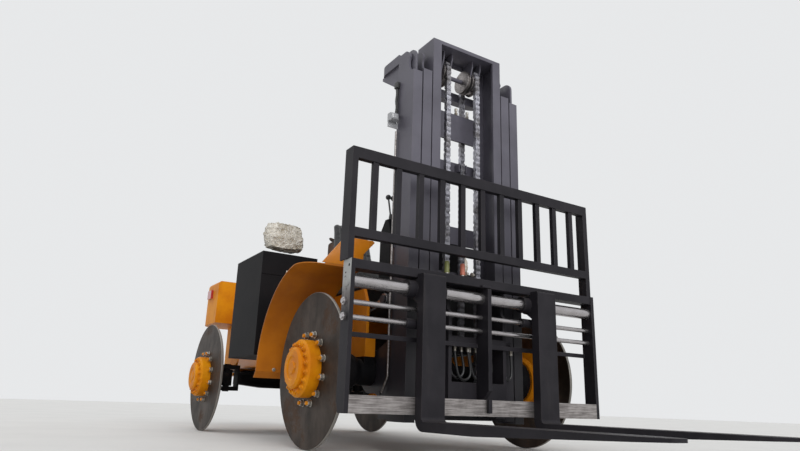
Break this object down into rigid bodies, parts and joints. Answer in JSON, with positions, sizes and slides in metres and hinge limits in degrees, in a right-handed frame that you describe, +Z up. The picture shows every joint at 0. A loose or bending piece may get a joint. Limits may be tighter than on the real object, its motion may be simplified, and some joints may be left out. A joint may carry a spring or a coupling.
{
  "type": "rough terrain forklift",
  "caption": "Rough terrain forklift with a triplex mast, wide carriage with sliding forks on a shaft, load guard and rear steering, standing on bare wheel discs without tyres.",
  "frame": {"origin": "centre of the bounding box on the floor, under the wheel discs", "axes": "+X forward along the forks, +Y to the driver's left, +Z up"},
  "size_m": [4.95, 1.93, 2.6519],
  "materials": {
    "body_paint": "gloss orange-yellow paint",
    "weight_paint": "gloss orange-yellow paint on a casting",
    "mast_paint": "satin charcoal paint",
    "black_paint": "satin black paint",
    "dark_plate": "satin black tread plate",
    "engine_grey": "painted casting",
    "disc_steel": "bare rolled steel with light rust",
    "ground_steel": "ground bare steel",
    "chrome_rod": "hard chrome",
    "chain_steel": "oiled leaf chain",
    "exhaust_steel": "heat-proof black",
    "black_plastic": "grained black plastic",
    "seat_cover": "black vinyl",
    "hose_rubber": "black hydraulic hose",
    "lamp_glass": "clear lamp lens in a black housing",
    "lamp_red": "red lamp lens",
    "film_wrap": "white shipping film"
  },
  "bodies": {
    "chassis": {"cab_sides": "body_paint", "chassis_frame": "body_paint", "controls": "black_plastic", "counterweight": "weight_paint", "dash_cowl": "body_paint", "engine": "engine_grey", "engine_bay": "body_paint", "exhaust": "exhaust_steel", "front_axle": "body_paint", "front_fender_left": "body_paint", "front_fender_right": "body_paint", "platform": "dark_plate", "rear_axle": "body_paint", "rear_lamps": "lamp_red", "seat_base": "black_plastic", "seat_pads": "seat_cover", "side_box_left": "black_paint", "side_box_right": "black_paint", "steer_cylinder": "mast_paint", "steering_column": "dark_plate", "wrapped_lamps": "film_wrap"},
    "outer_mast": {"outer_mast": "mast_paint", "lift_barrels": "mast_paint", "mast_pipes": "ground_steel", "mast_lamps": "lamp_glass"},
    "middle_mast": {"middle_mast": "mast_paint", "lift_rods": "chrome_rod"},
    "inner_mast": {"inner_mast": "mast_paint", "chain_sheaves": "ground_steel", "lift_chains": "chain_steel"},
    "carriage": {"carriage_back": "mast_paint", "fork_frame": "mast_paint", "wear_bar": "ground_steel", "fork_shaft": "chrome_rod", "positioner_rods": "chrome_rod", "load_guard": "mast_paint", "guard_bars": "mast_paint", "carriage_hoses": "hose_rubber"},
    "fork_left": {"fork_left": "mast_paint", "positioner_left": "mast_paint"},
    "fork_right": {"fork_right": "mast_paint", "positioner_right": "mast_paint"},
    "tilt_barrel_left": {"tilt_barrel_left": "mast_paint"},
    "tilt_barrel_right": {"tilt_barrel_right": "mast_paint"},
    "tilt_rod_left": {"tilt_rod_left": "chrome_rod"},
    "tilt_rod_right": {"tilt_rod_right": "chrome_rod"},
    "hood": {"hood": "body_paint"},
    "steering_wheel": {"steering_wheel": "black_plastic"},
    "knuckle_left": {"knuckle_left": "body_paint"},
    "knuckle_right": {"knuckle_right": "body_paint"},
    "steer_rod": {"steer_rod": "chrome_rod"},
    "front_wheel_left": {"front_disc_left": "disc_steel", "front_hub_left": "body_paint"},
    "front_wheel_right": {"front_disc_right": "disc_steel", "front_hub_right": "body_paint"},
    "rear_wheel_left": {"rear_disc_left": "disc_steel", "rear_hub_left": "body_paint"},
    "rear_wheel_right": {"rear_disc_right": "disc_steel", "rear_hub_right": "body_paint"}
  },
  "joints": [
    {"name": "mast_tilt", "type": "hinge", "parent": "chassis", "child": "outer_mast", "pos_m": [0.375, 0, 0.45], "axis": [0, 1, 0], "range_deg": [-10, 6]},
    {"name": "mast_lift", "type": "slide", "parent": "outer_mast", "child": "middle_mast", "axis": [0, 0, 1], "range_m": [-0.033, 1.2]},
    {"name": "inner_lift", "type": "slide", "parent": "middle_mast", "child": "inner_mast", "axis": [0, 0, 1], "range_m": [-0.033, 1.2]},
    {"name": "carriage_lift", "type": "slide", "parent": "inner_mast", "child": "carriage", "axis": [0, 0, 1], "range_m": [-0.033, 1.2]},
    {"name": "fork_left_slide", "type": "slide", "parent": "carriage", "child": "fork_left", "axis": [0, 1, 0], "range_m": [-0.27, 0.33]},
    {"name": "fork_right_slide", "type": "slide", "parent": "carriage", "child": "fork_right", "axis": [0, 1, 0], "range_m": [-0.33, 0.27]},
    {"name": "hood_hinge", "type": "hinge", "parent": "chassis", "child": "hood", "pos_m": [-1.95, 0, 1.36], "axis": [0, -1, 0], "range_deg": [0, 55]},
    {"name": "steering_wheel_turn", "type": "hinge", "parent": "chassis", "child": "steering_wheel", "pos_m": [0.035, 0, 1.445], "axis": [-0.5736, 0, 0.8192], "continuous": true},
    {"name": "steer_left", "type": "hinge", "parent": "chassis", "child": "knuckle_left", "pos_m": [-1.825, 0.66, 0.45], "axis": [0, 0, 1], "range_deg": [-30, 30]},
    {"name": "steer_right", "type": "hinge", "parent": "chassis", "child": "knuckle_right", "pos_m": [-1.825, -0.66, 0.45], "axis": [0, 0, 1], "range_deg": [-30, 30]},
    {"name": "steer_rod_slide", "type": "slide", "parent": "chassis", "child": "steer_rod", "axis": [0, 1, 0], "range_m": [-0.096, 0.096]},
    {"name": "tilt_barrel_left_pivot", "type": "hinge", "parent": "chassis", "child": "tilt_barrel_left", "pos_m": [-0.23, 0.452, 0.76], "axis": [0, 1, 0], "range_deg": [-3, 1.8]},
    {"name": "tilt_rod_left_slide", "type": "slide", "parent": "tilt_barrel_left", "child": "tilt_rod_left", "axis": [0.9885, 0, 0.1511], "range_m": [-0.072, 0.044]},
    {"name": "tilt_barrel_right_pivot", "type": "hinge", "parent": "chassis", "child": "tilt_barrel_right", "pos_m": [-0.23, -0.452, 0.76], "axis": [0, 1, 0], "range_deg": [-3, 1.8]},
    {"name": "tilt_rod_right_slide", "type": "slide", "parent": "tilt_barrel_right", "child": "tilt_rod_right", "axis": [0.9885, 0, 0.1511], "range_m": [-0.072, 0.044]},
    {"name": "front_wheel_left_spin", "type": "hinge", "parent": "chassis", "child": "front_wheel_left", "pos_m": [0.375, 0.84, 0.45], "axis": [0, 1, 0], "continuous": true},
    {"name": "front_wheel_right_spin", "type": "hinge", "parent": "chassis", "child": "front_wheel_right", "pos_m": [0.375, -0.84, 0.45], "axis": [0, 1, 0], "continuous": true},
    {"name": "rear_wheel_left_spin", "type": "hinge", "parent": "knuckle_left", "child": "rear_wheel_left", "pos_m": [-1.825, 0.84, 0.45], "axis": [0, 1, 0], "continuous": true},
    {"name": "rear_wheel_right_spin", "type": "hinge", "parent": "knuckle_right", "child": "rear_wheel_right", "pos_m": [-1.825, -0.84, 0.45], "axis": [0, 1, 0], "continuous": true}
  ],
  "couplings": [
    {"joint": "inner_lift", "follows": "mast_lift", "ratio": 1},
    {"joint": "carriage_lift", "follows": "mast_lift", "ratio": 1},
    {"joint": "steer_right", "follows": "steer_left", "ratio": 1},
    {"joint": "steer_rod_slide", "follows": "steer_left", "m_per_rad": -0.18},
    {"joint": "tilt_barrel_left_pivot", "follows": "mast_tilt", "ratio": 0.295},
    {"joint": "tilt_rod_left_slide", "follows": "mast_tilt", "m_per_rad": 0.405},
    {"joint": "tilt_barrel_right_pivot", "follows": "mast_tilt", "ratio": 0.295},
    {"joint": "tilt_rod_right_slide", "follows": "mast_tilt", "m_per_rad": 0.405}
  ]
}
